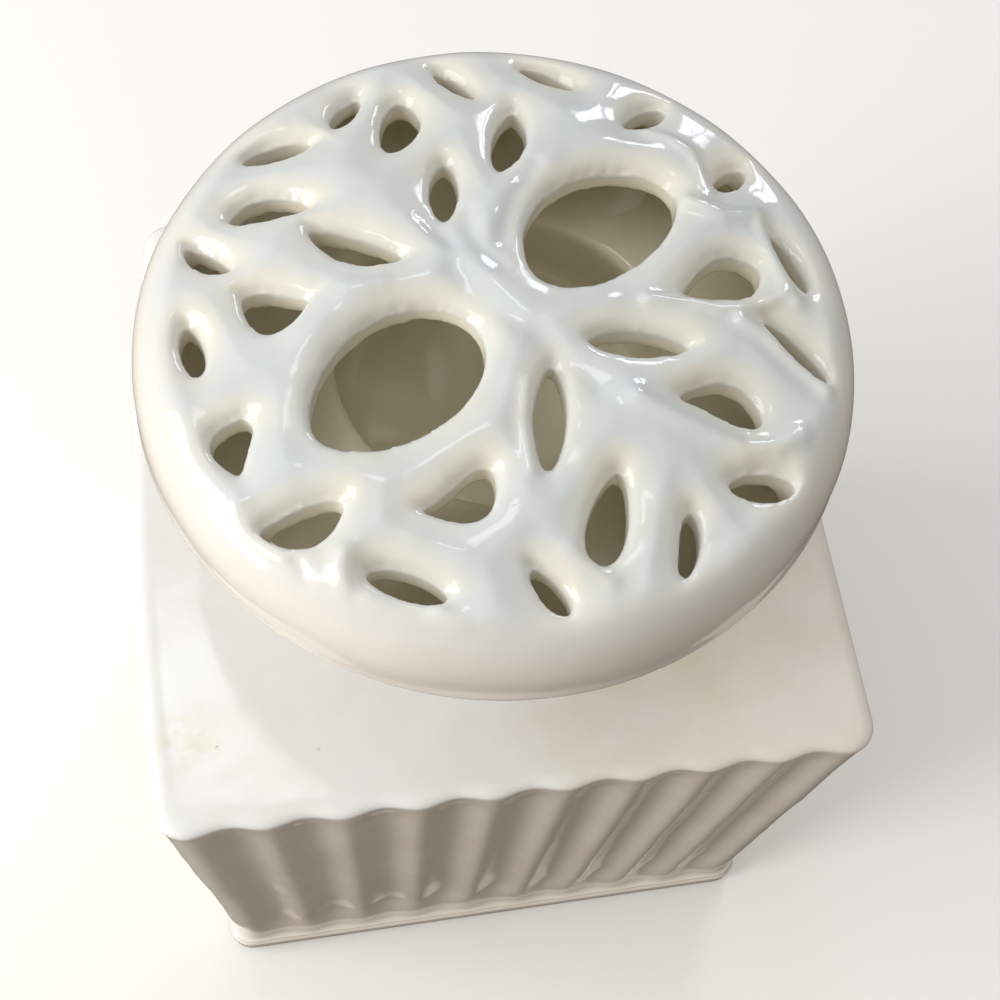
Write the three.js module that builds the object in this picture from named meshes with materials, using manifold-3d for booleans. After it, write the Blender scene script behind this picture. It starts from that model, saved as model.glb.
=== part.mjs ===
// A square canister with a fluted front and a pierced, mushroom-shaped lid.
// Millimetres, +Z up, front face towards -Y, standing on z = 0.
import * as THREE from 'three';
import { mergeVertices } from 'three/addons/utils/BufferGeometryUtils.js';
import Module from 'manifold-3d';

const wasm = await Module();
wasm.setup();

// Body of the jar
const bodyWidth = 112;
const bodyDepth = 111;
const bodyHeight = 112;
const draft = 2.4;
const leftDraft = 0.8;
const cornerRadius = 3.8;
const leftBow = 2.5;
const wall = 6;
const floorThickness = 7;
const shoulderThickness = 6;
const shoulderRound = 2.2;
const insideRound = 6;

// Foot under the flutes
const footHeight = 7;
const footSpread = 0.8;
const footRound = 2;
const fluteFade = 4;

// Flutes on the front and back faces
const fluteCount = 9;
const fluteDepth = 1.5;
const fluteCurve = 1.2;
const shoulderFluteShare = 0.65;

// Neck that carries the lid
const neckHeight = 34.2;
const neckRadius = 30.5;
const neckWall = 3;
const neckRootRound = 1.6;
const lipOverhang = 2.5;
const lipHeight = 3.5;
const lipRound = 1.2;

// Lid
const seatGap = 0.3;
const lidRadius = 52;
const lidHeight = 20.2;
const lidWall = 5;
const domeDrop = 4.6;
const lidShoulder = 8.2;
const skirtHeight = 4;
const rimRound = 1.6;
const spigotClearance = 1;
const spigotDepth = 12;

// Hollow of the lid, with a well in its middle
const chamberWall = 6;
const chamberFloor = 3.2;
const chamberRound = 3.5;
const wellWall = 2.4;
const wellFloor = 3;
const wellRound = 3;
const wellEdge = 0.8;

// Round pieces and openings are cut into this many steps
const roundSteps = 72;
const domeSteps = 5;
const leafSteps = 22;

// The hand-cut openings of the lid. Turn is the angle round the lid and lean the angle of
// the long axis, both in degrees from +X. Reach, length and width are shares of the lid's
// radius. Tip sharpens the ends, swell fattens one end and curl bends the axis.
const fingerHoles = [
  { turn: 215, reach: 0.38, length: 0.54, width: 0.385, lean: 34, tip: 0.55, swell: 0.1, curl: 0 },
  { turn: 35, reach: 0.355, length: 0.56, width: 0.37, lean: 38, tip: 0.55, swell: 0, curl: 0.02 },
];
const leafHoles = [
  { turn: 152, reach: 0.43, length: 0.3, width: 0.115, lean: 333, tip: 0.75, swell: 0, curl: -0.02 },
  { turn: 332, reach: 0.37, length: 0.3, width: 0.11, lean: 353, tip: 0.7, swell: -0.15, curl: 0 },
  { turn: 110, reach: 0.38, length: 0.24, width: 0.095, lean: 83, tip: 0.65, swell: 0, curl: 0 },
  { turn: 279, reach: 0.375, length: 0.335, width: 0.105, lean: 80, tip: 0.8, swell: 0, curl: 0 },
  { turn: 83, reach: 0.54, length: 0.29, width: 0.12, lean: 73, tip: 0.8, swell: 0, curl: -0.01 },
  { turn: 250, reach: 0.57, length: 0.24, width: 0.14, lean: 23, tip: 0.7, swell: 0.5, curl: -0.04 },
  { turn: 111, reach: 0.665, length: 0.25, width: 0.145, lean: 76, tip: 0.6, swell: 0.1, curl: -0.015 },
  { turn: 285, reach: 0.665, length: 0.28, width: 0.13, lean: 70, tip: 0.5, swell: -0.3, curl: 0 },
  { turn: 150, reach: 0.69, length: 0.25, width: 0.115, lean: 2, tip: 0.6, swell: -0.2, curl: 0.02 },
  { turn: 324, reach: 0.63, length: 0.27, width: 0.145, lean: 341, tip: 0.65, swell: 0.45, curl: 0.03 },
  { turn: 174, reach: 0.6, length: 0.225, width: 0.165, lean: 348, tip: 0.9, swell: -0.2, curl: -0.045 },
  { turn: 2, reach: 0.59, length: 0.295, width: 0.17, lean: 22, tip: 0.7, swell: 0.5, curl: 0 },
  { turn: 224, reach: 0.8, length: 0.25, width: 0.135, lean: 12, tip: 0.7, swell: 0.1, curl: -0.025 },
  { turn: 52, reach: 0.79, length: 0.175, width: 0.085, lean: 31, tip: 0.65, swell: 0.2, curl: 0 },
  { turn: 206, reach: 0.785, length: 0.19, width: 0.13, lean: 84, tip: 0.75, swell: 0.4, curl: 0.03 },
  { turn: 29, reach: 0.8, length: 0.15, width: 0.08, lean: 42, tip: 0.65, swell: 0, curl: 0 },
  { turn: 184, reach: 0.82, length: 0.17, width: 0.065, lean: 101, tip: 0.6, swell: 0, curl: 0 },
  { turn: 6, reach: 0.81, length: 0.215, width: 0.06, lean: 109, tip: 0.6, swell: 0, curl: 0 },
  { turn: 164, reach: 0.8, length: 0.165, width: 0.065, lean: 139, tip: 0.65, swell: 0, curl: 0.01 },
  { turn: 345, reach: 0.79, length: 0.255, width: 0.06, lean: 127, tip: 0.55, swell: 0, curl: 0 },
  { turn: 135, reach: 0.8, length: 0.225, width: 0.085, lean: 10, tip: 0.7, swell: -0.1, curl: 0 },
  { turn: 315, reach: 0.83, length: 0.21, width: 0.105, lean: 356, tip: 0.6, swell: 0, curl: 0 },
  { turn: 118, reach: 0.79, length: 0.16, width: 0.07, lean: 59, tip: 0.6, swell: -0.15, curl: 0 },
  { turn: 296, reach: 0.81, length: 0.19, width: 0.055, lean: 74, tip: 0.6, swell: 0.15, curl: -0.01 },
  { turn: 94, reach: 0.78, length: 0.175, width: 0.055, lean: 128, tip: 0.65, swell: 0, curl: 0 },
  { turn: 270, reach: 0.81, length: 0.155, width: 0.06, lean: 122, tip: 0.55, swell: -0.15, curl: 0 },
  { turn: 74, reach: 0.825, length: 0.2, width: 0.07, lean: 147, tip: 0.65, swell: 0.15, curl: 0 },
  { turn: 246, reach: 0.83, length: 0.225, width: 0.085, lean: 154, tip: 0.6, swell: 0, curl: 0 },
];

// Sizes that both pieces share
const lipRadius = neckRadius + lipOverhang;
const boreRadius = neckRadius - neckWall;
const neckTop = bodyHeight + neckHeight;
const rimHeight = neckTop + seatGap;
const breakRadius = lidRadius - lidShoulder;
const spigotRadius = boreRadius - spigotClearance;

function toSolid(geometry) {
  const bare = geometry.clone();
  bare.deleteAttribute('normal');
  bare.deleteAttribute('uv');
  const merged = mergeVertices(bare, 1e-4);
  return new wasm.Manifold(new wasm.Mesh({
    numProp: 3,
    vertProperties: new Float32Array(merged.attributes.position.array),
    triVerts: new Uint32Array(merged.index.array),
  }));
}

function toGeometry(solid) {
  const mesh = solid.getMesh();
  const geometry = new THREE.BufferGeometry();
  geometry.setAttribute('position', new THREE.BufferAttribute(mesh.vertProperties, mesh.numProp));
  geometry.setIndex(new THREE.BufferAttribute(mesh.triVerts, 1));
  geometry.computeVertexNormals();
  return geometry;
}

// Closed skin over a stack of rings that all have the same number of points
function skin(rings) {
  const count = rings[0].length;
  const points = rings.flat();
  const faces = [];
  for (let level = 0; level < rings.length - 1; level += 1) {
    for (let i = 0; i < count; i += 1) {
      const a = level * count + i;
      const b = level * count + (i + 1) % count;
      faces.push(a, b, b + count, a, b + count, a + count);
    }
  }
  const bottom = points.push(new THREE.Vector3(0, 0, rings[0][0].z)) - 1;
  const top = points.push(new THREE.Vector3(0, 0, rings.at(-1)[0].z)) - 1;
  const lastRing = (rings.length - 1) * count;
  for (let i = 0; i < count; i += 1) {
    const next = (i + 1) % count;
    faces.push(bottom, next, i, top, lastRing + i, lastRing + next);
  }
  const geometry = new THREE.BufferGeometry().setFromPoints(points);
  geometry.setIndex(faces);
  return geometry;
}

// Lathes a closed profile, given as [radius, height] pairs, about the Z axis
function turned(profile) {
  const points = profile.map(([radius, height]) => new THREE.Vector2(radius, height));
  return new THREE.LatheGeometry(points, roundSteps).rotateX(Math.PI / 2);
}

// Points of a quarter round, from angle `from` to angle `to` in degrees
function arc(centreRadius, centreHeight, across, up, from, to, steps) {
  return Array.from({ length: steps + 1 }, (_, i) => {
    const angle = THREE.MathUtils.degToRad(from + (to - from) * i / steps);
    return [centreRadius + across * Math.cos(angle), centreHeight + up * Math.sin(angle)];
  });
}

// How far the scooped flutes go in at a share of the way along a face
function fluteInset(share) {
  const place = (share * fluteCount) % 1;
  return fluteDepth * Math.sin(Math.PI * place) ** fluteCurve;
}

// Plan outline of the body at one height, anticlockwise from the front left corner
function outline({ height, inset, flute, radius, faceSteps, sideSteps, cornerSteps }) {
  const belowTop = 1 - height / bodyHeight;
  const middle = (leftDraft - draft) / 2 * belowTop;
  const halfWidth = bodyWidth / 2 - (draft + leftDraft) / 2 * belowTop - inset;
  const halfDepth = bodyDepth / 2 - draft * belowTop - inset;
  const points = [];
  const place = (x, y) => points.push(new THREE.Vector3(middle + x, y, height));
  const face = (side) => {
    for (let i = 0; i < faceSteps; i += 1) {
      const share = i / faceSteps;
      const x = (halfWidth - radius) * (2 * share - 1);
      place(-side * x, side * (halfDepth - flute * fluteInset(share)));
    }
  };
  const flank = (side, bow) => {
    for (let i = 0; i < sideSteps; i += 1) {
      const share = 2 * i / sideSteps - 1;
      const x = halfWidth + bow * (1 - share * share);
      place(side * x, side * (halfDepth - radius) * share);
    }
  };
  const corner = (sideX, sideY, from) => {
    for (let i = 0; i < cornerSteps; i += 1) {
      const angle = THREE.MathUtils.degToRad(from + 90 * i / cornerSteps);
      const x = sideX * (halfWidth - radius) + radius * Math.cos(angle);
      const y = sideY * (halfDepth - radius) + radius * Math.sin(angle);
      place(x, y);
    }
  };
  face(-1);
  corner(1, -1, 270);
  flank(1, 0);
  corner(1, 1, 0);
  face(1);
  corner(-1, 1, 90);
  flank(-1, leftBow);
  corner(-1, -1, 180);
  return points;
}

function bodyShell() {
  const steps = { faceSteps: 8 * fluteCount, sideSteps: 12, cornerSteps: 5 };
  const ring = (height, inset, flute) => {
    const radius = Math.max(cornerRadius - Math.max(inset, 0), 0.8);
    return outline({ height, inset, flute, radius, ...steps });
  };
  const rings = [];
  arc(footRound, footRound, footRound, footRound, 270, 180, 3)
    .forEach(([inset, height]) => rings.push(ring(height, inset - footSpread, 0)));
  rings.push(ring(footHeight - footRound, -footSpread, 0));
  rings.push(ring(footHeight, 0, 0));
  rings.push(ring(footHeight + fluteFade / 2, 0, 0.7));
  rings.push(ring(footHeight + fluteFade, 0, 1));
  const roundStart = bodyHeight - shoulderRound;
  arc(shoulderRound, roundStart, shoulderRound, shoulderRound, 180, 90, 4)
    .forEach(([inset, height], step) => {
      const flute = THREE.MathUtils.lerp(1, shoulderFluteShare, step / 4);
      rings.push(ring(height, inset, flute));
    });
  return skin(rings);
}

function bodyCavity() {
  const steps = { faceSteps: 4, sideSteps: 6, cornerSteps: 5 };
  const ceiling = bodyHeight - shoulderThickness;
  const ring = (height, inset) => {
    const radius = insideRound - inset / 2;
    return outline({ height, inset: wall + inset, flute: 0, radius, ...steps });
  };
  const edge = (height, from, to) => (
    arc(insideRound, height, insideRound, insideRound, from, to, 3)
      .map(([inset, level]) => ring(level, inset))
  );
  return skin([
    ...edge(floorThickness + insideRound, 270, 180),
    ...edge(ceiling - insideRound, 180, 90),
  ]);
}

function neckPost() {
  const rootRadius = neckRadius + neckRootRound;
  const rootHeight = bodyHeight + neckRootRound;
  const lipStart = neckTop - lipHeight;
  return turned([
    [0, bodyHeight - shoulderThickness / 2],
    [rootRadius, bodyHeight - shoulderThickness / 2],
    ...arc(rootRadius, rootHeight, neckRootRound, neckRootRound, 270, 180, 4),
    [neckRadius, lipStart - lipOverhang],
    [lipRadius, lipStart],
    ...arc(lipRadius - lipRound, neckTop - lipRound, lipRound, lipRound, 0, 90, 4),
    [0, neckTop],
  ]);
}

function neckBore() {
  const reach = shoulderThickness + 2;
  return turned([
    [0, bodyHeight - reach],
    [boreRadius, bodyHeight - reach],
    ...arc(boreRadius + lipRound, neckTop - lipRound, lipRound, lipRound, 180, 90, 4),
    [boreRadius + lipRound, neckTop + 1],
    [0, neckTop + 1],
  ]);
}

function jar() {
  return toSolid(bodyShell())
    .add(toSolid(neckPost()))
    .subtract(toSolid(bodyCavity()))
    .subtract(toSolid(neckBore()));
}

// Height of the dome's outer skin above the rim at one radius
function domeHeight(radius) {
  return lidHeight - domeDrop * (radius / breakRadius) ** 2;
}

// Height of the dome's inner skin above the rim at one radius
function underside(radius) {
  return domeHeight(radius) - lidWall;
}

// Points from the axis outwards along one skin of the dome
function domeLine(skinHeight) {
  return Array.from({ length: domeSteps }, (_, i) => {
    const radius = breakRadius * i / domeSteps;
    return [radius, skinHeight(radius)];
  });
}

// The lid's outside: dome, rim, flat seat and closed spigot
function lidBlank() {
  const profile = [
    ...domeLine(domeHeight),
    ...arc(breakRadius, skirtHeight, lidShoulder, domeHeight(breakRadius) - skirtHeight, 90, 0, 6),
    ...arc(lidRadius - rimRound, rimRound, rimRound, rimRound, 0, -90, 3),
    [spigotRadius, 0],
    [spigotRadius, 1 - spigotDepth],
    [spigotRadius - 1, -spigotDepth],
    [0, -spigotDepth],
  ];
  return toSolid(turned(profile.reverse()));
}

// The hollow under the dome, and the well that goes down into the spigot
function lidHollow() {
  const wellRadius = spigotRadius - wellWall;
  const wellBottom = wellFloor - spigotDepth;
  const chamberRadius = lidRadius - chamberWall;
  const chamberTurn = chamberFloor + chamberRound;
  return toSolid(turned([
    [0, wellBottom],
    ...arc(wellRadius - wellRound, wellBottom + wellRound, wellRound, wellRound, 270, 360, 3),
    ...arc(wellRadius + wellEdge, chamberFloor - wellEdge, wellEdge, wellEdge, 180, 90, 3),
    ...arc(chamberRadius - chamberRound, chamberTurn, chamberRound, chamberRound, 270, 360, 4),
    [breakRadius, underside(breakRadius)],
    ...domeLine(underside).reverse(),
  ]));
}

// Prism of one leaf-shaped opening, cut from above into the hollow
function leafCutter({ turn, reach, length, width, lean, tip, swell, curl }) {
  const floor = chamberFloor + chamberRound / 2;
  const turnAngle = THREE.MathUtils.degToRad(turn);
  const centre = new THREE.Vector2(Math.cos(turnAngle), Math.sin(turnAngle)).multiplyScalar(reach);
  const side = (sign) => Array.from({ length: leafSteps / 2 }, (_, i) => {
    const along = sign * Math.cos(Math.PI * i / (leafSteps / 2));
    const bulge = 1 - along * along;
    const across = sign * width / 2 * bulge ** tip * (1 + swell * along) + curl * bulge;
    return new THREE.Vector2(along * length / 2, across)
      .rotateAround(new THREE.Vector2(), THREE.MathUtils.degToRad(lean))
      .add(centre)
      .multiplyScalar(lidRadius);
  });
  const shape = new THREE.Shape([...side(1), ...side(-1)]);
  const prism = new THREE.ExtrudeGeometry(shape, { depth: lidHeight, bevelEnabled: false });
  return toSolid(prism.translate(0, 0, floor));
}

function lid() {
  return [...fingerHoles, ...leafHoles].reduce(
    (solid, opening) => solid.subtract(leafCutter(opening)),
    lidBlank().subtract(lidHollow()),
  );
}

function piece(name, solid, colour, roughness) {
  const material = new THREE.MeshStandardMaterial({ color: colour, roughness, metalness: 0 });
  const mesh = new THREE.Mesh(toGeometry(solid), material);
  mesh.name = name;
  return mesh;
}

const canister = new THREE.Group();

canister.add(piece('jar', jar(), 0xe6e2d6, 0.18));

const lidMesh = piece('pierced_lid', lid(), 0xdcdfd6, 0.16);
lidMesh.position.z = rimHeight;
canister.add(lidMesh);

export default canister;
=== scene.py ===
"""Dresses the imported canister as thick-glazed, hand-cut earthenware."""

from __future__ import annotations

import logging
import math
from dataclasses import dataclass
from enum import Enum

import bmesh
import bpy
import numpy as np
from mathutils import Euler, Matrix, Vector, noise

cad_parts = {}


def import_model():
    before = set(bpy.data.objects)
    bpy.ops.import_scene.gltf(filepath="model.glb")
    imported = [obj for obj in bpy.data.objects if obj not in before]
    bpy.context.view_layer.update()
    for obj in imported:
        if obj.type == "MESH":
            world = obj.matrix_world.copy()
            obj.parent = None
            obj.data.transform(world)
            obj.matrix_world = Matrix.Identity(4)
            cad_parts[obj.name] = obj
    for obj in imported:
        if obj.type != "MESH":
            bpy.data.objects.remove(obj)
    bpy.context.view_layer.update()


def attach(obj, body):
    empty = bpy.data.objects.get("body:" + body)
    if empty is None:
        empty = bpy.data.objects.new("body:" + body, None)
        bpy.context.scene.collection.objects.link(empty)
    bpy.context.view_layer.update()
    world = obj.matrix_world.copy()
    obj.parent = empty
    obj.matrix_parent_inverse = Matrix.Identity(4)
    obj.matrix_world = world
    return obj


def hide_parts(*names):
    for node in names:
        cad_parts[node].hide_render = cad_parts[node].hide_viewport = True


LOG = logging.getLogger("canister")
MM = 0.001

Colour = tuple[float, float, float]


def tone(red: int, green: int, blue: int) -> Colour:
    """Turns a colour as seen on a screen into the linear one that a shader takes.

    Args:
        red: Red from 0 to 255.
        green: Green from 0 to 255.
        blue: Blue from 0 to 255.

    Returns:
        The same colour in linear light, from 0 to 1.
    """
    return tuple(((c / 255 + 0.055) / 1.055) ** 2.4 if c > 10 else c / 3294 for c in (red, green, blue))


def ease(value: np.ndarray, low: float, high: float) -> np.ndarray:
    """Rises smoothly from 0 at low to 1 at high.

    Args:
        value: The numbers to ease.
        low: Where the rise starts.
        high: Where the rise ends, which may be less than low.

    Returns:
        Numbers from 0 to 1.
    """
    share = np.clip((value - low) / (high - low), 0, 1)
    return share * share * (3 - 2 * share)


def arc(centre: tuple[float, float], across: float, up: float, start: float, end: float, steps: int) -> list:
    """Points of an elliptical arc in a profile, as radius and height.

    Args:
        centre: Radius and height of the arc's centre.
        across: Half the width of the ellipse.
        up: Half the height of the ellipse.
        start: First angle in degrees, from the outward direction.
        end: Last angle in degrees.
        steps: How many straight steps the arc is drawn with.

    Returns:
        The points in order, both ends included.
    """
    angles = np.radians(np.linspace(start, end, steps + 1))
    return [(centre[0] + across * math.cos(a), centre[1] + up * math.sin(a)) for a in angles]


def ripple(points: np.ndarray, scale: float, seed: float) -> np.ndarray:
    """Smooth hand-made unevenness.

    Args:
        points: Places in mm, one row each.
        scale: Size of a swell in mm.
        seed: Shifts the pattern, so that two uses differ.

    Returns:
        A number from about -1 to 1 for each place.
    """
    return np.array([noise.noise(Vector(p) / scale + Vector((seed, seed, seed))) for p in points])


@dataclass(frozen=True)
class Swell:
    """One size of the unevenness that hands leave in clay and glaze."""

    size: float
    seed: float
    height: float

    def lift(self, points: np.ndarray) -> np.ndarray:
        """Says how far the swell raises each place, in mm."""
        return ripple(points, self.size, self.seed) * self.height


class Paint(Enum):
    """What the numbers on a piece's points say about its glaze there, and where they paint shade and
    highlights.
    """

    THIN = "thin"
    EDGE = "edge"
    INSIDE = "inside"
    BARE = "bare"


class Bench:
    """The modelling steps that the pieces share."""

    @staticmethod
    def clear() -> None:
        """Goes back to object mode with nothing selected."""
        if bpy.context.object and bpy.context.object.mode != "OBJECT":
            bpy.ops.object.mode_set(mode="OBJECT")
        bpy.ops.object.select_all(action="DESELECT")

    @staticmethod
    def stack(name: str, rings: list[np.ndarray]) -> bpy.types.Object:
        """Pulls a circle through a stack of rings and closes both ends.

        Args:
            name: Name of the new piece.
            rings: Points of each ring in mm, all with the same count, first ring to last.

        Returns:
            The new closed piece, with its faces outwards.
        """
        Bench.clear()
        bpy.ops.mesh.primitive_circle_add(vertices=len(rings[0]), radius=MM, fill_type="TRIFAN")
        piece = bpy.context.active_object
        piece.name = name
        bpy.ops.object.mode_set(mode="EDIT")
        bpy.ops.mesh.select_all(action="DESELECT")
        bpy.ops.mesh.select_mode(type="VERT")
        mesh = bmesh.from_edit_mesh(piece.data)
        hub = max(mesh.verts, key=lambda vert: len(vert.link_edges))
        ring = sorted((v for v in mesh.verts if v is not hub), key=lambda v: math.atan2(v.co.y, v.co.x))
        hub.co = Vector(rings[0].mean(axis=0)) * MM
        for vert in ring:
            vert.select = True
        mesh.select_flush_mode()
        order = np.argsort(np.arctan2(rings[0][:, 1], rings[0][:, 0]), kind="stable")
        for vert, index in zip(ring, order):
            vert.co = Vector(rings[0][index]) * MM
        for points in rings[1:]:
            bpy.ops.mesh.extrude_edges_indiv()
            mesh = bmesh.from_edit_mesh(piece.data)
            ring = [next(e.other_vert(v) for e in v.link_edges if e.other_vert(v).select) for v in ring]
            for vert, index in zip(ring, order):
                vert.co = Vector(points[index]) * MM
        bpy.ops.mesh.extrude_edges_indiv()
        bpy.ops.mesh.merge(type="CENTER")
        bpy.ops.mesh.select_all(action="SELECT")
        bpy.ops.mesh.normals_make_consistent(inside=False)
        bpy.ops.object.mode_set(mode="OBJECT")
        return piece

    @staticmethod
    def prism(name: str, foot: np.ndarray, top: np.ndarray) -> bpy.types.Object:
        """Makes a cutter between two outlines.

        Args:
            name: Name of the cutter.
            foot: Points of the lower outline in mm, in order round the shape.
            top: Points of the upper outline in mm, as many as in the lower one.

        Returns:
            The closed cutter.
        """
        Bench.clear()
        bpy.ops.mesh.primitive_circle_add(vertices=len(foot), radius=MM, fill_type="NGON")
        piece = bpy.context.active_object
        piece.name = name
        for vert, point in zip(piece.data.vertices, foot):
            vert.co = Vector(point) * MM
        bpy.ops.object.mode_set(mode="EDIT")
        bpy.ops.mesh.select_all(action="SELECT")
        bpy.ops.mesh.extrude_region()
        mesh = bmesh.from_edit_mesh(piece.data)
        ends = {tuple(Vector(low)): Vector(high) for low, high in zip(foot, top)}
        for vert in (v for v in mesh.verts if v.select):
            vert.co = min(ends.items(), key=lambda pair: (Vector(pair[0]) * MM - vert.co).length)[1] * MM
        bpy.ops.mesh.select_all(action="SELECT")
        bpy.ops.mesh.normals_make_consistent(inside=False)
        bpy.ops.object.mode_set(mode="OBJECT")
        return piece

    @staticmethod
    def join(pieces: list[bpy.types.Object]) -> bpy.types.Object:
        """Joins pieces into the first of them."""
        Bench.clear()
        for piece in pieces:
            piece.select_set(True)
        bpy.context.view_layer.objects.active = pieces[0]
        bpy.ops.object.join()
        return pieces[0]

    @staticmethod
    def finish_with(piece: bpy.types.Object, kind: str, **settings: object) -> None:
        """Adds a modifier to a piece and applies it.

        Args:
            piece: The piece to change.
            kind: The modifier's type.
            **settings: The modifier's own settings.
        """
        Bench.clear()
        piece.select_set(True)
        bpy.context.view_layer.objects.active = piece
        modifier = piece.modifiers.new(kind.title(), kind)
        for key, value in settings.items():
            setattr(modifier, key, value)
        bpy.ops.object.modifier_apply(modifier=modifier.name)

    @staticmethod
    def places(piece: bpy.types.Object) -> np.ndarray:
        """Reads a piece's points, in mm, one row each."""
        flat = np.empty(len(piece.data.vertices) * 3)
        piece.data.vertices.foreach_get("co", flat)
        return flat.reshape(-1, 3) / MM

    @staticmethod
    def move_to(piece: bpy.types.Object, places: np.ndarray) -> None:
        """Puts a piece's points at new places, given in mm."""
        piece.data.vertices.foreach_set("co", (places * MM).ravel())
        piece.data.update()

    @staticmethod
    def paint(piece: bpy.types.Object, kind: Paint, values: np.ndarray) -> None:
        """Keeps one number for each point of a piece, for its material to read."""
        layer = piece.data.attributes.new(kind.value, "FLOAT", "POINT")
        layer.data.foreach_set("value", values.astype(np.float32))


class Wire:
    """A shader value that can be used in plain arithmetic."""

    def __init__(self, graph: Graph, socket: bpy.types.NodeSocket) -> None:
        """Keeps the socket and the graph that it belongs to."""
        self.graph = graph
        self.socket = socket

    def _math(self, operation: str, first: object, second: object) -> Wire:
        """Adds one Math node."""
        return self.graph.add("ShaderNodeMath", {"operation": operation}, {0: first, 1: second})

    def __add__(self, other: object) -> Wire:
        """Adds."""
        return self._math("ADD", self, other)

    def __sub__(self, other: object) -> Wire:
        """Subtracts."""
        return self._math("SUBTRACT", self, other)

    def __rsub__(self, other: object) -> Wire:
        """Is subtracted from a number."""
        return self._math("SUBTRACT", other, self)

    def __mul__(self, other: object) -> Wire:
        """Multiplies."""
        return self._math("MULTIPLY", self, other)

    __radd__ = __add__
    __rmul__ = __mul__

    def most(self, other: object) -> Wire:
        """The larger of two values."""
        return self._math("MAXIMUM", self, other)

    def ramp(self, low: float, high: float) -> Wire:
        """Rises smoothly from 0 at low to 1 at high."""
        settings = {"interpolation_type": "SMOOTHSTEP"}
        return self.graph.add("ShaderNodeMapRange", settings, {0: self, 1: low, 2: high, 3: 0.0, 4: 1.0})


class Graph:
    """The nodes of one material."""

    def __init__(self, name: str) -> None:
        """Starts an empty material with a surface shader."""
        self.material = bpy.data.materials.new(name)
        self.material.use_nodes = True
        self.nodes = self.material.node_tree.nodes
        self.links = self.material.node_tree.links
        self.surface = self.nodes["Principled BSDF"]

    def feed(self, socket: bpy.types.NodeSocket, value: object) -> None:
        """Links a wire to a socket, or sets a plain value on it."""
        if isinstance(value, Wire):
            self.links.new(value.socket, socket)
        elif isinstance(value, tuple) and socket.type == "RGBA":
            socket.default_value = (*value, 1.0)
        else:
            socket.default_value = value

    def shade(self, values: dict[str, object]) -> None:
        """Feeds the surface shader's sockets, by name."""
        for name, value in values.items():
            self.feed(self.surface.inputs[name], value)

    def add(
        self, kind: str, settings: dict | None = None, inputs: dict | None = None, output: object = 0
    ) -> Wire:
        """Adds one node.

        Args:
            kind: The node's type.
            settings: The node's own settings, which are set first.
            inputs: Values or wires for its sockets, by name or number.
            output: Name or number of the socket to give back.

        Returns:
            The chosen output.
        """
        node = self.nodes.new(kind)
        for key, value in (settings or {}).items():
            setattr(node, key, value)
        for key, value in (inputs or {}).items():
            self.feed(node.inputs[key], value)
        return Wire(self, node.outputs[output])

    def mix(self, share: object, first: object, second: object) -> Wire:
        """Mixes two colours by a share. The numbers are the Mix node's colour sockets."""
        return self.add("ShaderNodeMix", {"data_type": "RGBA"}, {0: share, 6: first, 7: second}, 2)

    def swell(self, scale: float, detail: float = 2.0, seed: float = 0.0) -> Wire:
        """Soft noise from 0 to 1, with swells about scale mm across."""
        place = self.add("ShaderNodeTexCoord", output="Object")
        moved = self.add("ShaderNodeVectorMath", {"operation": "ADD"}, {0: place, 1: (seed, seed, seed)})
        inputs = {"Vector": moved, "Scale": 1 / (scale * MM), "Detail": detail}
        return self.add("ShaderNodeTexNoise", {}, inputs)

    def near(self, place: tuple[float, float, float], reach: float) -> Wire:
        """Falls from 1 at a place to 0 at reach from it, both in mm."""
        here = self.add("ShaderNodeTexCoord", output="Object")
        spot = tuple(c * MM for c in place)
        gap = self.add("ShaderNodeVectorMath", {"operation": "DISTANCE"}, {0: here, 1: spot}, "Value")
        return gap.ramp(reach * MM, 0.0)

    def painted(self, kind: Paint) -> Wire:
        """Reads a number that was painted on the piece's points."""
        return self.add("ShaderNodeAttribute", {"attribute_name": kind.value}, {}, "Fac")


@dataclass(frozen=True)
class StainAndShade:
    """A spot in the glaze. Most are real stains and specks; one is a broad patch of painted shade. Sizes are
    in mm.
    """

    colour: Colour
    place: tuple[float, float, float]
    reach: float
    strength: float


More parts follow.
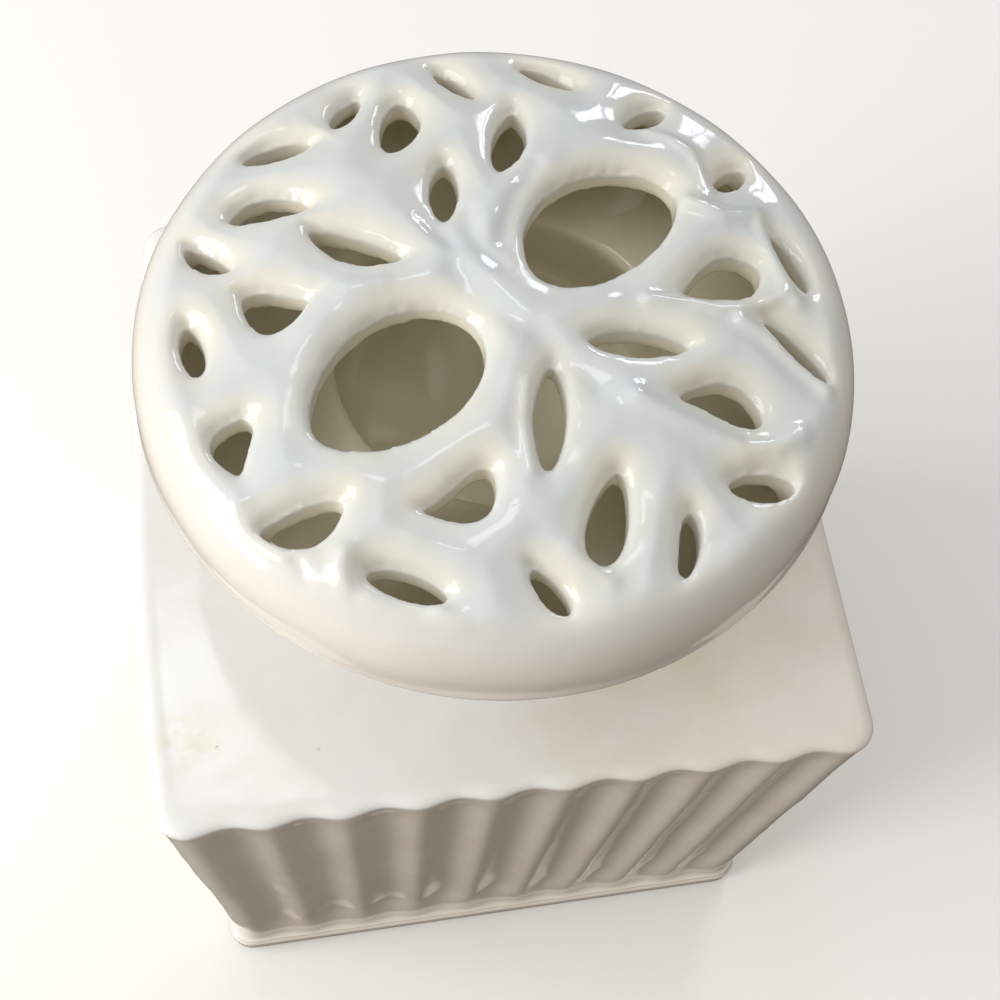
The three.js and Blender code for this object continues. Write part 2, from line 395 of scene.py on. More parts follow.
@dataclass(frozen=True)
class Glaze:
    """A thick gloss glaze, cool where it pools and warm where the clay shows through. Its thin tone also
    paints shade on the jar, and its edge tone also paints highlights. Sizes are in mm.
    """

    name: str
    slot: str
    thick: Colour
    # thin is the warm tone of glaze running thin over the clay; on the jar it is also painted shade.
    thin: Colour
    # edge is the lighter tone of glaze breaking over an edge, and it also paints highlights on the foot band
    # and the lid's skirt.
    edge: Colour
    inside: Colour
    clay: Colour
    speck: Colour = tone(92, 74, 48)
    speck_strength: float = 0.7
    speck_size: float = 4.0
    patch_size: float = 16.0
    patch_warmth: float = 0.25
    patch_roughness: float = 0.04
    roughness: float = 0.09
    bare_roughness: float = 0.5
    refraction: float = 1.5
    dimples: float = 0.25
    dimple_size: float = 5.0
    dimple_depth: float = 0.3

    def material(self, stains_and_shade: tuple[StainAndShade, ...] = ()) -> bpy.types.Material:
        """Builds the glaze's nodes.

        Args:
            stains_and_shade: The spots in the glaze of this piece, real stains and specks and patches of
                painted shade.

        Returns:
            The finished material.
        """
        graph = Graph(self.name)
        patches = graph.swell(self.patch_size, 3.0).ramp(0.35, 0.7)
        bare = graph.painted(Paint.BARE)
        # Mixes in the thin tone: thin glaze, and on the jar also painted shade on its right side and fluted
        # faces.
        warmth_and_shade = (graph.painted(Paint.THIN) + patches * self.patch_warmth - 0.05).most(0.0)
        colour = graph.mix(warmth_and_shade, self.thick, self.thin)
        # Mixes in the edge tone: glaze breaking over an edge, together with a painted highlight.
        colour = graph.mix(graph.painted(Paint.EDGE), colour, self.edge)
        colour = graph.mix(graph.painted(Paint.INSIDE), colour, self.inside)
        colour = graph.mix(bare, colour, self.clay)
        # Lays on the spots: the real stains and specks, and the patches of painted shade.
        for mark in stains_and_shade:
            edge = graph.swell(mark.reach / 2, 4.0, mark.reach).ramp(0.4, 0.65)
            blot = graph.near(mark.place, mark.reach) * edge
            colour = graph.mix(blot * mark.strength, colour, mark.colour)
        cells = graph.add("ShaderNodeTexVoronoi", {}, {"Scale": 1 / (self.speck_size * MM)}, "Distance")
        chosen = graph.swell(self.speck_size * 1.7, 0.0, 3.0).ramp(0.70, 0.74)
        speck = cells.ramp(0.07, 0.04) * chosen
        colour = graph.mix(speck * self.speck_strength, colour, self.speck)
        roughness = patches * self.patch_roughness + self.roughness + bare * self.bare_roughness
        dents = {
            "Height": graph.swell(self.dimple_size, 1.0, 7.0) - speck,
            "Strength": self.dimples,
            "Distance": self.dimple_depth * MM,
        }
        bump = graph.add("ShaderNodeBump", {}, dents)
        graph.shade({"Base Color": colour, "Roughness": roughness, "IOR": self.refraction, "Normal": bump})
        return graph.material


@dataclass(frozen=True)
class Leaf:
    """One hand-cut opening, sized and placed in shares of the lid's radius."""

    turn: float
    reach: float
    length: float
    width: float
    lean: float
    tip: float = 0.65
    swell: float = 0.0
    curl: float = 0.0

    def outline(self, radius: float, points: int, inset: float = 0.0) -> np.ndarray:
        """Draws the opening.

        Args:
            radius: The lid's radius in mm.
            points: How many points to draw it with, an even number.
            inset: How far in mm the outline lies inside the opening's full size.

        Returns:
            Plan points in mm, anticlockwise.
        """
        half = points // 2
        along = np.cos(np.pi * np.arange(half) / half)
        length = self.length / 2 - inset / radius
        width = self.width / 2 - inset / radius
        sides = []
        for sign in (1, -1):
            run = sign * along
            bulge = 1 - run**2
            across = sign * width * bulge**self.tip * (1 + self.swell * run) + self.curl * bulge
            sides.append(np.column_stack([run * length, across]))
        lean = math.radians(self.lean)
        turn = math.radians(self.turn)
        spin = np.array([[math.cos(lean), math.sin(lean)], [-math.sin(lean), math.cos(lean)]])
        centre = self.reach * np.array([math.cos(turn), math.sin(turn)])
        return (np.vstack(sides) @ spin + centre) * radius


FINGER_HOLES = (
    Leaf(215, 0.38, 0.54, 0.385, 34, 0.55, 0.1),
    Leaf(35, 0.355, 0.56, 0.37, 38, 0.55, 0, 0.02),
)
LEAF_HOLES = (
    Leaf(152, 0.43, 0.3, 0.115, 333, 0.75, 0, -0.02),
    Leaf(332, 0.37, 0.3, 0.11, 353, 0.7, -0.15),
    Leaf(110, 0.38, 0.24, 0.095, 83),
    Leaf(279, 0.375, 0.335, 0.105, 80, 0.8),
    Leaf(83, 0.54, 0.29, 0.12, 73, 0.8, 0, -0.01),
    Leaf(250, 0.57, 0.24, 0.14, 23, 0.7, 0.5, -0.04),
    Leaf(111, 0.665, 0.25, 0.145, 76, 0.6, 0.1, -0.015),
    Leaf(285, 0.665, 0.28, 0.13, 70, 0.5, -0.3),
    Leaf(150, 0.69, 0.25, 0.115, 2, 0.6, -0.2, 0.02),
    Leaf(324, 0.63, 0.27, 0.145, 341, 0.65, 0.45, 0.03),
    Leaf(174, 0.6, 0.225, 0.165, 348, 0.9, -0.2, -0.045),
    Leaf(2, 0.59, 0.295, 0.17, 22, 0.7, 0.5),
    Leaf(224, 0.8, 0.25, 0.135, 12, 0.7, 0.1, -0.025),
    Leaf(52, 0.79, 0.175, 0.085, 31, 0.65, 0.2),
    Leaf(206, 0.785, 0.19, 0.13, 84, 0.75, 0.4, 0.03),
    Leaf(29, 0.8, 0.15, 0.08, 42),
    Leaf(184, 0.82, 0.17, 0.065, 101, 0.6),
    Leaf(6, 0.81, 0.215, 0.06, 109, 0.6),
    Leaf(164, 0.8, 0.165, 0.065, 139, 0.65, 0, 0.01),
    Leaf(345, 0.79, 0.255, 0.06, 127, 0.55),
    Leaf(135, 0.8, 0.225, 0.085, 10, 0.7, -0.1),
    Leaf(315, 0.83, 0.21, 0.105, 356, 0.6),
    Leaf(118, 0.79, 0.16, 0.07, 59, 0.6, -0.15),
    Leaf(296, 0.81, 0.19, 0.055, 74, 0.6, 0.15, -0.01),
    Leaf(94, 0.78, 0.175, 0.055, 128),
    Leaf(270, 0.81, 0.155, 0.06, 122, 0.55, -0.15),
    Leaf(74, 0.825, 0.2, 0.07, 147, 0.65, 0.15),
    Leaf(246, 0.83, 0.225, 0.085, 154, 0.6),
)


@dataclass
class Jar:
    """The square jar with its fluted front and back and its round neck. Sizes are in mm.

    The flutes lose the share arch_loss of their depth over the last arch_fade under the shoulder,
    edge_loss more of it round the shoulder's edge, and base_loss over base_fade above the foot.
    """

    glaze: Glaze
    width: float = 112.0
    depth: float = 111.0
    height: float = 112.0
    draft: float = 2.4
    left_draft: float = 0.8
    corner: float = 4.8
    bow: float = 2.5
    wall: float = 6.0
    floor: float = 7.0
    shoulder: float = 6.0
    shoulder_round: float = 2.6
    shoulder_drop: float = 1.3
    inside_round: float = 6.0
    foot_height: float = 6.0
    foot_spread: float = 1.3
    foot_round: float = 2.0
    cove: float = 2.4
    flutes: int = 9
    flute_depth: float = 1.7
    flute_curve: float = 1.7
    flute_soften: float = 0.3
    arch_fade: float = 10.0
    arch_loss: float = 0.45
    base_fade: float = 16.0
    base_loss: float = 0.7
    edge_loss: float = 0.4
    band_rise: tuple[float, float] = (3.4, 5.2)
    # How much of the edge tone paints a highlight on the foot band.
    band_highlight: float = 0.4
    neck_height: float = 34.2
    neck: float = 30.5
    neck_wall: float = 3.0
    root_round: float = 1.6
    lip_overhang: float = 2.5
    lip_height: float = 3.5
    lip_round: float = 1.2
    swells: tuple[Swell, ...] = (Swell(34, 4.0, 0.35), Swell(11, 8.0, 0.08))
    face_steps: int = 108
    side_steps: int = 36
    corner_steps: int = 8
    edge_steps: int = 8

    def outline(self, height: float, inset: float, scoop: float, rounding: float) -> np.ndarray:
        """Plan of the body at one height.

        Args:
            height: Height above the base.
            inset: How far the ring lies inside the drafted wall.
            scoop: Share of the flutes' depth.
            rounding: Radius of the corners.

        Returns:
            Points of the ring, anticlockwise from the front left corner.
        """
        below_top = 1 - height / self.height
        middle = (self.left_draft - self.draft) / 2 * below_top
        half_x = self.width / 2 - (self.draft + self.left_draft) / 2 * below_top - inset - rounding
        half_y = self.depth / 2 - self.draft * below_top - inset - rounding
        along = np.arange(self.face_steps) / self.face_steps
        softness = self.flute_curve + self.flute_soften * (1 - scoop)
        cut = self.flute_depth * scoop * np.sin(np.pi * (along * self.flutes % 1)) ** softness
        front = np.column_stack([half_x * (2 * along - 1), -(half_y + rounding - cut)])
        rise = 2 * np.arange(self.side_steps) / self.side_steps - 1
        right = np.column_stack([np.full_like(rise, half_x + rounding), half_y * rise])
        swelling = self.bow * (1 - rise**2)
        left = np.column_stack([-(half_x + rounding + swelling), -half_y * rise])
        turn = np.radians(90 * np.arange(self.corner_steps) / self.corner_steps)
        bend = rounding * np.column_stack([np.cos(turn), np.sin(turn)])
        corners = []
        for quarter, (x, y) in enumerate(((1, -1), (1, 1), (-1, 1), (-1, -1))):
            angle = math.radians(90 * (quarter - 1))
            spin = np.array([[math.cos(angle), math.sin(angle)], [-math.sin(angle), math.cos(angle)]])
            corners.append(bend @ spin + (x * half_x, y * half_y))
        plan = np.vstack([front, corners[0], right, corners[1], -front, corners[2], left, corners[3]])
        return np.column_stack([plan + (middle, 0), np.full(len(plan), height)])

    def circle(self, radius: float, height: float) -> np.ndarray:
        """A round ring whose points face those of the square ones."""
        square = self.outline(self.height, self.shoulder_round, 0, 1)
        turn = np.arctan2(square[:, 1], square[:, 0])
        return np.column_stack([radius * np.cos(turn), radius * np.sin(turn), np.full(len(turn), height)])

    def square(self, inset: float, height: float, scoop: float = 0.0) -> np.ndarray:
        """A ring of the outer skin, with tighter corners the further it lies inside the wall."""
        return self.outline(height, inset, scoop, max(self.corner - max(inset, 0), 0.8))

    def cavity(self, inset: float, height: float) -> np.ndarray:
        """A ring of the square hollow."""
        return self.outline(height, self.wall + inset, 0, self.inside_round - inset / 2)

    def wall_rings(self) -> list[np.ndarray]:
        """The rings of the base, the foot band and the fluted wall, up to the rounded shoulder edge."""
        low_bend = self.foot_round
        high_bend = self.foot_round / 2
        base = self.square(low_bend - self.foot_spread, 0)
        rings = [self.circle(radius, 0) for radius in (12, 26, 40)] + [base * (0.93, 0.93, 1)]
        foot = arc((low_bend, low_bend), low_bend, low_bend, 270, 180, 5)
        foot += arc((high_bend, self.foot_height - high_bend), high_bend, high_bend, 180, 110, 3)
        rings += [self.square(inset - self.foot_spread, height) for inset, height in foot]
        low = self.foot_height + self.cove
        high = self.height - self.arch_fade
        edge = self.height - self.shoulder_drop
        for angle in np.radians(np.linspace(75, 0, 8)):
            inset = self.foot_spread * (math.cos(angle) - 1)
            scoop = (1 - self.base_loss) * math.cos(angle)
            rings.append(self.square(inset, low - self.cove * math.sin(angle), scoop))
        for share in np.linspace(0, 1, 9)[1:]:
            scoop = 1 - self.base_loss * ease(share, 1, 0)
            rings.append(self.square(0, low + self.base_fade * share, scoop))
        for height in np.linspace(low + self.base_fade, high, 18)[1:]:
            rings.append(self.square(0, height, 1))
        for share in np.linspace(0, 1, 7)[1:-1]:
            scoop = 1 - self.arch_loss * ease(share, 0, 1)
            rings.append(self.square(0, high + (edge - high) * share, scoop))
        round_edge = self.shoulder_round
        bend = arc((round_edge, edge), round_edge, self.shoulder_drop, 180, 90, self.edge_steps)
        for step, (inset, height) in enumerate(bend):
            left = 1 - self.edge_loss * step / self.edge_steps
            rings.append(self.square(inset, height, (1 - self.arch_loss) * left))
        return rings

    def neck_rings(self) -> list[np.ndarray]:
        """The rings up the outside of the neck, over its lip and down its bore."""
        neck_top = self.height + self.neck_height
        bore = self.neck - self.neck_wall
        lip = self.neck + self.lip_overhang
        ceiling = self.height - self.shoulder
        root, edge = self.root_round, self.lip_round
        line = arc((self.neck + root, self.height + root), root, root, 270, 180, 5)
        line += [(self.neck, self.height + rise) for rise in (6, 12, 18)]
        line.append((self.neck, neck_top - self.lip_height - self.lip_overhang))
        line.append((lip, neck_top - self.lip_height))
        line += arc((lip - edge, neck_top - edge), edge, edge, 0, 90, 4)
        line += arc((bore + edge, neck_top - edge), edge, edge, 90, 180, 4)
        line += [(bore, neck_top - drop) for drop in (8, 16, 24)]
        line += [(bore, self.height), (bore, ceiling + 1), (bore + 1, ceiling)]
        return [self.circle(radius, height) for radius, height in line]

    def hollow_rings(self, mouth: np.ndarray) -> list[np.ndarray]:
        """The rings of the jar's hollow, from the neck's mouth down to its floor."""
        ceiling = self.height - self.shoulder
        bend = self.inside_round
        inner = self.cavity(bend, ceiling)
        rings = [mouth + (inner - mouth) * share for share in (0.35, 0.7)]
        rings += [self.cavity(*step) for step in arc((bend, ceiling - bend), bend, bend, 90, 180, 4)]
        depth = ceiling - self.floor - 2 * bend
        rings += [self.cavity(0, ceiling - bend - share * depth) for share in (0.25, 0.5, 0.75)]
        rings += [self.cavity(*step) for step in arc((bend, self.floor + bend), bend, bend, 180, 270, 4)]
        return rings + [self.circle(radius, self.floor) for radius in (36, 24, 12)]

    def rings(self) -> list[np.ndarray]:
        """All rings, from the middle of the base, up the outside and down the inside."""
        wall = self.wall_rings()
        neck = self.neck_rings()
        rim = wall[-1]
        root = self.circle(self.neck + self.root_round, self.height)
        flat = [rim + (root - rim) * share for share in (0.04, 0.1, 0.2, 0.32, 0.45, 0.58, 0.7, 0.8, 0.9)]
        return wall + flat + neck + self.hollow_rings(neck[-1])

    def build(self) -> bpy.types.Object:
        """Models the jar and dresses it."""
        piece = Bench.stack("glazed_jar", self.rings())
        places = Bench.places(piece)
        outside = self.outside_share(places)
        self.unevenness(places, outside)
        Bench.move_to(piece, places)
        rise = places[:, 2]
        # Painted highlight, with lighter glaze on the rounding: the band over the top of the foot bead and
        # its cove gets the edge tone.
        band = ease(rise, *self.band_rise) * ease(rise, self.foot_height + self.cove, self.foot_height)
        Bench.paint(piece, Paint.INSIDE, 1 - outside)
        Bench.paint(piece, Paint.BARE, ease(rise, 0.5, 0.1))
        # Painted shade, with thin glaze: the thin tone darkens the jar's right side and its fluted faces.
        Bench.paint(piece, Paint.THIN, self.warmth_and_shade(places) * outside)
        Bench.paint(piece, Paint.EDGE, band * self.band_highlight * outside)
        bpy.ops.object.shade_smooth()
        piece.data.materials.append(self.glaze.material(STAINS_AND_SHADE))
        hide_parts("jar")
        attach(piece, "jar")
        return piece

    def unevenness(self, places: np.ndarray, outside: np.ndarray) -> None:
        """Lets the walls and the shoulder sink a little here and there, as hand-finished clay does."""
        sink = np.abs(sum(swell.lift(places) for swell in self.swells))
        away = places[:, :2]
        top = ease(places[:, 2], self.height - 4, self.height - 1) * outside
        sideways = outside * ease(places[:, 2], 2, 12) * (1 - top)
        push = away / np.abs(away).max(axis=1, keepdims=True).clip(1)
        places[:, :2] -= push * (sink * sideways)[:, None]
        places[:, 2] -= (sink * 0.8 * top) * (places[:, 2] < self.height + 0.5)

    def outside_share(self, places: np.ndarray) -> np.ndarray:
        """1 on the outside of the jar and 0 in its hollow."""
        rise = places[:, 2]
        radius = np.hypot(places[:, 0], places[:, 1])
        span = np.abs(places[:, :2]).max(axis=1)
        slope = self.draft * (1 - rise / self.height)
        in_neck = (radius < self.neck - self.neck_wall / 2) & (rise > 1)
        in_body = (rise > 1) & (rise < self.height - 3) & (span < self.depth / 2 - slope - 3.5)
        return 1.0 - (in_neck | in_body)

    def warmth_and_shade(self, places: np.ndarray) -> np.ndarray:
        """Partly thin glaze, partly painted shade: how much of the darker, warmer thin tone goes on, least on
        the lit left of the shoulder, more to the right, and most on the shaded fluted faces.
        """
        right = ease(places[:, 0], -20, 50)
        upright = ease(places[:, 2], self.height - 0.5, self.height - 3)
        return np.clip(0.05 + 0.5 * right * (1 - upright) + 0.65 * upright, 0, 1)


STAINS_AND_SHADE = (
    StainAndShade(tone(222, 212, 176), (-50.3, -40.9, 112.0), 8.0, 0.6),
    # Painted shade: a broad darker, warmer patch on the shoulder's right front, where the lid's shadow falls.
    StainAndShade(tone(222, 208, 168), (26.0, -36.0, 112.0), 42.0, 0.5),
    StainAndShade(tone(250, 246, 238), (22.3, -53.3, 65.9), 1.4, 1.0),
    StainAndShade(tone(120, 118, 112), (-46.4, -42.5, 112.0), 0.5, 0.9),
    StainAndShade(tone(120, 118, 112), (-31.6, -44.7, 112.0), 0.5, 0.9),
)


@dataclass(frozen=True)
class Ridge:
    """A raised cord, or with a negative height a groove, that the tool left in the lid. Sizes are in mm."""

    path: tuple[tuple[float, float], ...]
    width: float
    height: float

    def lift(self, plan: np.ndarray) -> np.ndarray:
        """Says how far the ridge raises each place.

        Args:
            plan: Places seen from above in mm, one row each.

        Returns:
            The rise at each place in mm.
        """
        gap = np.full(len(plan), np.inf)
        for first, last in zip(self.path, self.path[1:]):
            start = np.array(first)
            run = np.array(last) - start
            share = np.clip((plan - start) @ run / (run @ run), 0, 1)
            gap = np.minimum(gap, np.linalg.norm(plan - start - share[:, None] * run, axis=1))
        return self.height * np.exp(-((gap / self.width) ** 2))


RIDGES = (
    Ridge(((28, 14.5), (33, 11.5), (38.5, 12), (39.5, 5), (41, -3)), 1.5, 0.9),
    Ridge(((19, -3), (25, -3.4), (29, -4.6), (35, -4), (39, -2)), 1.0, 0.7),
    Ridge(((32, -6.5), (35, -8.5), (38.5, -12.5), (43, -17.5)), 1.2, 0.9),
    Ridge(((15, -18), (19, -20.5), (24.5, -23.5), (28.5, -26), (33, -26), (37, -24)), 1.6, 0.9),
    Ridge(((25, 28.5), (28, 27), (31, 24), (32, 16.5)), 1.0, 0.6),
    Ridge(((0.7, -14.5), (-0.4, -20), (-0.5, -27)), 0.9, 0.5),
    Ridge(((3.3, -37.4), (5.2, -40), (7.7, -42.5)), 1.2, 0.5),
    Ridge(((-28, 1), (-22.4, 2.7), (-17, 3)), 1.4, 0.4),
    Ridge(((-4, 14), (-4, 10.5), (-3, 7), (-0.7, 4)), 1.4, -0.5),
    Ridge(((-6.8, 4), (-4, -0.4), (0.8, -5.6), (5.6, -9.8), (10.2, -15.4)), 2.0, -0.6),
    Ridge(((-25, -35), (-26, -42)), 1.5, 0.9),
    Ridge(((-10, 13), (-7, 8)), 1.2, -0.4),
    Ridge(((-38, -27), (-38, -32)), 1.4, 0.5),
    Ridge(((-31, -35), (-30, -38)), 1.0, -0.7),
    Ridge(((-23, -42), (-19, -45)), 1.6, 0.6),
    Ridge(((-14, -44), (-12, -46)), 1.4, 0.6),
    Ridge(((7, -51), (18, -48), (29, -43)), 0.8, -0.35),
    Ridge(((0, 8), (3, 16), (7, 22)), 1.3, -0.5),
)


@dataclass
class PiercedLid:
    """The domed lid with its openings, its chamber and well, its rim and its spigot. Sizes are in mm.

    crisp_edge, leaf_edge and finger_edge are the width and the drop of a rounded edge, and
    worn_side points to where the edges are worn. grain is the mesh size that the lid is remeshed
    with, and batch is how many places are measured at once.
    """

    glaze: Glaze
    jar: Jar
    radius: float = 52.0
    height: float = 20.2
    wall: float = 5.6
    dome_drop: float = 4.6
    shoulder: float = 8.2
    skirt: float = 4.0
    rim_round: float = 0.9
    seat_gap: float = 0.3
    spigot_clearance: float = 1.0
    spigot_depth: float = 12.0
    chamber_wall: float = 6.0
    chamber_floor: float = 3.2
    chamber_round: float = 3.5
    well_wall: float = 2.4
    well_floor: float = 3.0
    well_round: float = 3.0
    well_edge: float = 1.6
    cut_lean: tuple[float, float] = (-0.2, -0.9)
    cut_taper: float = 0.4
    cut_inset: float = 0.8
    segments: int = 160
    grain: float = 0.52
    crisp_edge: tuple[float, float] = (0.9, 0.45)
    leaf_edge: tuple[float, float] = (2.6, 1.3)
    finger_edge: tuple[float, float] = (5.0, 2.0)
    worn_side: tuple[float, float] = (0.2, 1.0)
    vein_width: float = 8.0
    vein_drop: float = 1.0
    rim_zone: float = 8.0
    rim_swell: Swell = Swell(17, 5.0, 0.4)
    rim_shrink: float = 0.3
    swells: tuple[Swell, ...] = (Swell(13, 1.0, 0.35), Swell(6, 2.0, 0.25), Swell(2.6, 3.0, 0.06))
    cut_points: int = 44
    edge_points: int = 120
    batch: int = 2000
    fingers: tuple[Leaf, ...] = FINGER_HOLES
    leaves: tuple[Leaf, ...] = LEAF_HOLES

    @property
    def base(self) -> float:
        """Height of the rim above the floor."""
        return self.jar.height + self.jar.neck_height + self.seat_gap

    @property
    def turn(self) -> float:
        """Radius where the dome turns down into the rim."""
        return self.radius - self.shoulder

    @property
    def spigot(self) -> float:
        """Radius of the spigot that stands in the neck."""
        return self.jar.neck - self.jar.neck_wall - self.spigot_clearance

    def crown(self, radius: np.ndarray | float) -> np.ndarray | float:
        """Height of the dome's outer skin above the rim at a radius."""
        return self.height - self.dome_drop * (radius / self.turn) ** 2

    def outside(self) -> list[tuple[float, float]]:
        """The lid's outer section, from near the apex, round the rim and down the spigot."""
        end = -self.spigot_depth
        curl = self.rim_round
        points = [(radius, self.crown(radius)) for radius in np.linspace(3, self.turn, 14)[:-1]]
        points += arc((self.turn, self.skirt), self.shoulder, self.crown(self.turn) - self.skirt, 90, 0, 10)
        points += arc((self.radius - curl, curl), curl, curl, 0, -90, 4)
        points += [(self.spigot + 8, 0), (self.spigot, 0), (self.spigot, end + 1), (self.spigot - 1, end)]
        return points + [(self.spigot / 2, end)]

    def hollow(self) -> list[tuple[float, float]]:
        """The section of the chamber under the dome and of the well in its middle."""
        well = self.spigot - self.well_wall
        low = self.well_floor - self.spigot_depth
        edge = self.chamber_floor - self.well_edge
        side = self.radius - self.chamber_wall
        bowl, brink, bend = self.well_round, self.well_edge, self.chamber_round
        points = [(well / 2, low)]
        points += arc((well - bowl, low + bowl), bowl, bowl, 270, 360, 4)
        points += arc((well + brink, edge), brink, brink, 180, 90, 4)
        points += arc((side - bend, self.chamber_floor + bend), bend, bend, 270, 360, 5)
        return points + [(radius, self.crown(radius) - self.wall) for radius in np.linspace(self.turn, 3, 14)]

    def turned(self, name: str, section: list[tuple[float, float]]) -> bpy.types.Object:
        """Throws a closed round piece from its section."""
        turn = np.radians(np.arange(self.segments) * 360 / self.segments)
        flat = np.column_stack([np.cos(turn), np.sin(turn), np.zeros(self.segments)])
        return Bench.stack(name, [flat * r + (0, 0, self.base + z) for r, z in section])

    def pierce(self, lid: bpy.types.Object) -> None:
        """Cuts every opening through the dome, leaning a little, as a hand-held knife does."""
        low = self.chamber_floor + self.chamber_round / 2
        high = self.height + 3
        slope = (self.height - self.wall / 2 - low) / (high - low)
        lean = np.array(self.cut_lean)
        cutters = []
        for index, leaf in enumerate(self.fingers + self.leaves):
            inset = self.cut_inset * self.narrowing(leaf)
            taper = self.cut_taper * self.narrowing(leaf)
            foot = leaf.outline(self.radius, self.cut_points, inset + taper) + lean * slope
            top = leaf.outline(self.radius, self.cut_points, inset) - lean * (1 - slope) * 0.3
            levels = ((foot, self.base + low), (top, self.base + high))
            ends = [np.column_stack([ring, np.full(len(ring), level)]) for ring, level in levels]
            cutters.append(Bench.prism(f"cutter_{index}", *ends))
        self.cut(lid, Bench.join(cutters))

    def narrowing(self, leaf: Leaf) -> float:
        """Share of the full inset that an opening takes, less in a narrow one."""
        return min(max((leaf.width * self.radius - 2.5) / 5, 0.1), 1.0)

    @staticmethod
    def cut(lid: bpy.types.Object, cutter: bpy.types.Object) -> None:
        """Takes a cutter out of the lid."""
        Bench.finish_with(lid, "BOOLEAN", object=cutter, operation="DIFFERENCE", solver="EXACT")
        bpy.data.objects.remove(cutter)

    def edge_gap(self, places: np.ndarray, openings: tuple[Leaf, ...]) -> tuple[np.ndarray, np.ndarray]:
        """Looks for the nearest edge of some openings, seen from above.

        Args:
            places: Places on the lid in mm, one row each.
            openings: The openings to measure to.

        Returns:
            The distance to the edge in mm, and how much the place lies on the opening's far
            side, from 0 to 1.
        """
        loops = [
            leaf.outline(self.radius, self.edge_points, self.cut_inset * self.narrowing(leaf))
            for leaf in openings
        ]
        edges = np.vstack(loops)
        runs = np.vstack([np.roll(loop, -1, axis=0) - np.roll(loop, 1, axis=0) for loop in loops])
        facing = np.column_stack([runs[:, 1], -runs[:, 0]]) / np.linalg.norm(runs, axis=1, keepdims=True)
        worn = ease(facing @ np.array(self.worn_side) / np.hypot(*self.worn_side), -0.3, 0.8)
        gap = np.empty(len(places))
        far = np.empty(len(places))
        for start in range(0, len(places), self.batch):
            rows = slice(start, start + self.batch)
            reach = ((places[rows, None, :2] - edges[None]) ** 2).sum(axis=2)
            nearest = reach.argmin(axis=1)
            gap[rows] = np.sqrt(reach[np.arange(len(nearest)), nearest])
            far[rows] = worn[nearest]
        return gap, far

    def rounding(self, gap: np.ndarray, far: np.ndarray, worn: tuple[float, float]) -> np.ndarray:
        """How far an edge falls away at a distance from it.

        Args:
            gap: The distance of each place from the edge in mm.
            far: How much each place lies on the far side, where the edge is worn and not crisp.
            worn: Width and drop of the worn edge in mm.

        Returns:
            The drop at each place in mm.
        """
        width = self.crisp_edge[0] + (worn[0] - self.crisp_edge[0]) * far
        drop = self.crisp_edge[1] + (worn[1] - self.crisp_edge[1]) * far
        near = np.clip(1 - gap / width, 0, 1)
        return drop * (1 - np.sqrt(1 - near**2))

    def relief(self, lid: bpy.types.Object) -> None:
        """Rounds the webs into cords, lets the glaze lie unevenly, paints where it is thin, and paints a
        highlight round the skirt.
        """
        places = Bench.places(lid)
        radius = np.hypot(places[:, 0], places[:, 1])
        rise = places[:, 2] - self.base
        depth = self.crown(np.minimum(radius, self.turn)) - rise
        above = ease(depth, self.wall, 0) * ease(radius, self.radius - 1, self.radius - self.rim_zone)
        skirt = ease(radius, self.radius - self.rim_zone, self.radius - 3) * ease(rise, 1, 3)
        finger, finger_far = self.edge_gap(places, self.fingers)
        leaf, leaf_far = self.edge_gap(places, self.leaves)
        gap = np.minimum(finger, leaf)
        fall = self.rounding(finger, finger_far, self.finger_edge)
        fall += self.rounding(leaf, leaf_far, self.leaf_edge)
        fall += self.vein_drop * np.clip(1 - gap / self.vein_width, 0, 1) ** 2
        lumps = sum(swell.lift(places) for swell in self.swells)
        lumps += sum(ridge.lift(places[:, :2]) for ridge in RIDGES)
        places[:, 2] += above * (lumps - fall)
        away = places[:, :2] / radius[:, None].clip(1)
        places[:, :2] += away * ((self.rim_swell.lift(places) - self.rim_shrink) * skirt)[:, None]
        Bench.move_to(lid, places)
        walls = ease(depth, 0.8, 2.4) * ease(gap, 3.0, 1.2)
        far = np.where(finger < leaf, finger_far, leaf_far)
        Bench.paint(lid, Paint.THIN, np.maximum(walls, ease(gap, 5.0, 0.8) * (0.25 + 0.35 * far)))
        # Painted highlight, with lighter glaze at the rim: the skirt round the rim gets the edge tone.
        Bench.paint(lid, Paint.EDGE, ease(radius, self.radius - 13, self.radius - 2) * ease(rise, 20, 8))
        hidden = ease(depth, self.wall * 0.8, self.wall * 1.2) * self.in_hollow(radius, rise)
        Bench.paint(lid, Paint.INSIDE, hidden)
        Bench.paint(lid, Paint.BARE, np.zeros(len(places)))

    def in_hollow(self, radius: np.ndarray, rise: np.ndarray) -> np.ndarray:
        """Says which places lie on the walls of the chamber or the well.

        Args:
            radius: Distance of each place from the lid's axis in mm.
            rise: Height of each place over the rim in mm.

        Returns:
            True for the places that do.
        """
        in_chamber = (radius < self.radius - self.chamber_wall + 1) & (rise > self.chamber_floor / 2)
        well_bottom = self.well_floor / 2 - self.spigot_depth
        in_well = (radius < self.spigot - self.well_wall / 2) & (rise > well_bottom)
        return in_chamber | in_well

    def build(self) -> bpy.types.Object:
        """Models the lid and dresses it."""
        lid = self.turned("glazed_lid", self.outside())
        self.cut(lid, self.turned("cutter_hollow", self.hollow()))
        self.pierce(lid)
        Bench.finish_with(lid, "REMESH", mode="VOXEL", voxel_size=self.grain * MM)
        Bench.finish_with(lid, "SMOOTH", factor=0.5, iterations=4)
        self.relief(lid)
        Bench.finish_with(lid, "SMOOTH", factor=0.5, iterations=2)
        Bench.finish_with(lid, "DECIMATE", ratio=0.5)
        bpy.ops.object.shade_smooth()
        lid.data.materials.append(self.glaze.material())
        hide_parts("pierced_lid")
        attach(lid, "lid")
        return lid


